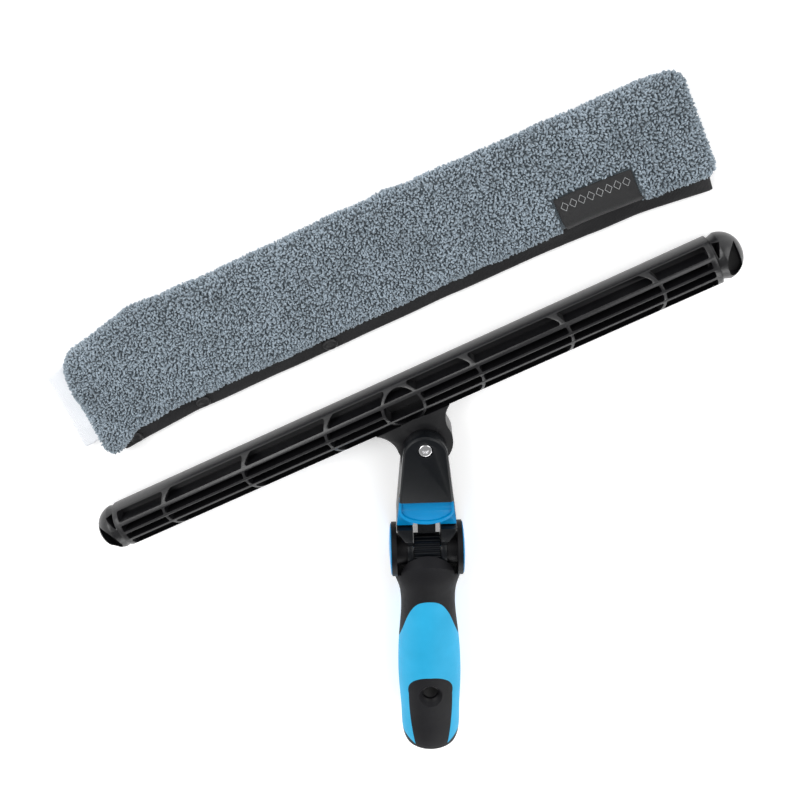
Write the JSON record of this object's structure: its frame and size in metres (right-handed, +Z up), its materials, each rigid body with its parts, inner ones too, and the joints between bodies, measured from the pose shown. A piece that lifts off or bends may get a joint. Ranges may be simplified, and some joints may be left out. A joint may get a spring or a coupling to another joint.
{
  "type": "window washing T-bar",
  "caption": "Window washing T-bar: ribbed bar that swivels on a tilting soft grip with pole socket, with its microfibre sleeve laid beside it.",
  "frame": {"origin": "middle of the footprint, on the surface that the tool lies on", "axes": "+X along the bar to its right end, +Y from the handle towards the sleeve, +Z up out of the front face"},
  "size_m": [0.3536, 0.3007, 0.0319],
  "materials": {
    "black_plastic": "satin moulded",
    "black_plastic_neck": "fine textured moulding",
    "steel": "bright",
    "nylon": "natural",
    "blue_plastic": "satin",
    "dark_rubber": "soft matt",
    "blue_rubber": "soft matt",
    "pile": "microfibre pile",
    "lining": "woven",
    "edge_tape": "woven tape",
    "black_gloss": "press stud",
    "label_cloth": "satin woven",
    "white_pad": "scrub fleece"
  },
  "bodies": {
    "tbar": {"bar_body": "black_plastic", "bar_end_cap_left": "black_plastic", "bar_end_cap_right": "black_plastic", "swivel_bush": "steel"},
    "neck": {"neck_body": "black_plastic_neck", "swivel_screw": "steel", "swivel_nut": "steel", "swivel_washers": "nylon", "lock_spring": "steel"},
    "thumb_slide": {"lock_slide": "blue_plastic", "lock_pawl": "black_plastic_neck"},
    "grip": {"grip_core": "black_plastic_neck", "grip_rubber": "dark_rubber", "grip_end_rubber": "dark_rubber", "grip_insert": "blue_rubber", "pivot_cap_left": "blue_plastic", "pivot_cap_right": "blue_plastic", "tilt_pin": "steel", "detent_wheel": "black_plastic_neck"},
    "sleeve": {"sleeve_cover": "pile", "sleeve_lining": "lining", "sleeve_edge_strip": "edge_tape", "snap_caps": "black_gloss", "snap_sockets": "black_gloss", "sleeve_label": "label_cloth", "scrub_pad": "white_pad"}
  },
  "joints": [
    {"name": "swivel", "type": "hinge", "parent": "tbar", "child": "neck", "pos_m": [-0.00173, 0.02937, 0.012], "axis": [0, 0, 1], "range_deg": [-45.4, 94.6]},
    {"name": "tilt", "type": "hinge", "parent": "neck", "child": "grip", "pos_m": [-0.0285, -0.02909, 0.016], "axis": [0.9092, -0.4163, 0], "range_deg": [-30, 60]},
    {"name": "thumb_slide", "type": "slide", "parent": "neck", "child": "thumb_slide", "axis": [0.4163, 0.9092, 0], "range_m": [0, 0.003], "stiffness_N_per_m": 300, "springref_m": -0.004, "deforming": ["lock_spring"]},
    {"name": "sleeve_lift", "type": "slide", "parent": "tbar", "child": "sleeve", "axis": [0, 0, 1], "range_m": [0, 0.2]}
  ]
}
